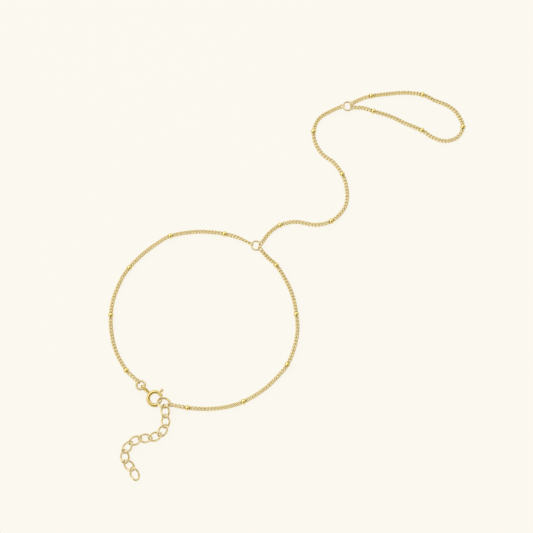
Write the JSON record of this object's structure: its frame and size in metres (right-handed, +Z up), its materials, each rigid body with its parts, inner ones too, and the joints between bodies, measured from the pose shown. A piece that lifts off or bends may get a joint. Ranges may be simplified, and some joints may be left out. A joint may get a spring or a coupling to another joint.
{
  "type": "hand chain bracelet",
  "caption": "Fine curb chain with round beads: a wrist loop with a spring ring clasp and extender, a chain over the hand and a finger loop.",
  "frame": {"origin": "middle of the bracelet's box on the table that it lies on", "axes": "+Z up from the table, +Y along the longest side from the extender's end towards the finger loop, +X towards the finger loop's tip"},
  "size_m": [0.1034, 0.1132, 0.0031],
  "materials": {
    "chain": "pale gold plating on fine curb links, bright where the links are worn",
    "beads": "polished pale gold plating",
    "rings": "polished pale gold plating on round wire",
    "extender": "polished pale gold plating on twisted oval links",
    "clasp": "high polish yellow gold plating",
    "trigger": "polished gold plating, rubbed at the knob"
  },
  "bodies": {
    "bracelet": {"wrist_chain_left": "chain", "wrist_chain_right": "chain", "hand_chain": "chain", "finger_chain": "chain", "wrist_ring": "rings", "finger_ring": "rings", "clasp_ring": "rings", "extender_ring": "rings", "clasp_body": "clasp", "extender_link_1": "extender", "extender_link_2": "extender", "extender_link_3": "extender", "extender_link_4": "extender", "extender_link_5": "extender", "extender_link_6": "extender", "extender_link_7": "extender", "extender_link_8": "extender", "extender_link_9": "extender", "extender_link_10": "extender", "bead_left_1": "beads", "bead_left_2": "beads", "bead_left_3": "beads", "bead_left_4": "beads", "bead_left_5": "beads", "bead_right_1": "beads", "bead_right_2": "beads", "bead_right_3": "beads", "bead_right_4": "beads", "bead_right_5": "beads", "bead_hand_1": "beads", "bead_hand_2": "beads", "bead_hand_3": "beads", "bead_hand_4": "beads", "bead_finger_1": "beads", "bead_finger_2": "beads", "bead_finger_3": "beads", "bead_finger_4": "beads", "bead_finger_5": "beads"},
    "trigger": {"clasp_trigger": "trigger"}
  },
  "joints": [
    {"name": "trigger_slide", "type": "hinge", "parent": "bracelet", "child": "trigger", "pos_m": [-0.0378, -0.03442, 0.00136], "axis": [0, 0, 1], "range_deg": [0, 60], "stiffness_Nm_per_rad": 0.0005}
  ]
}
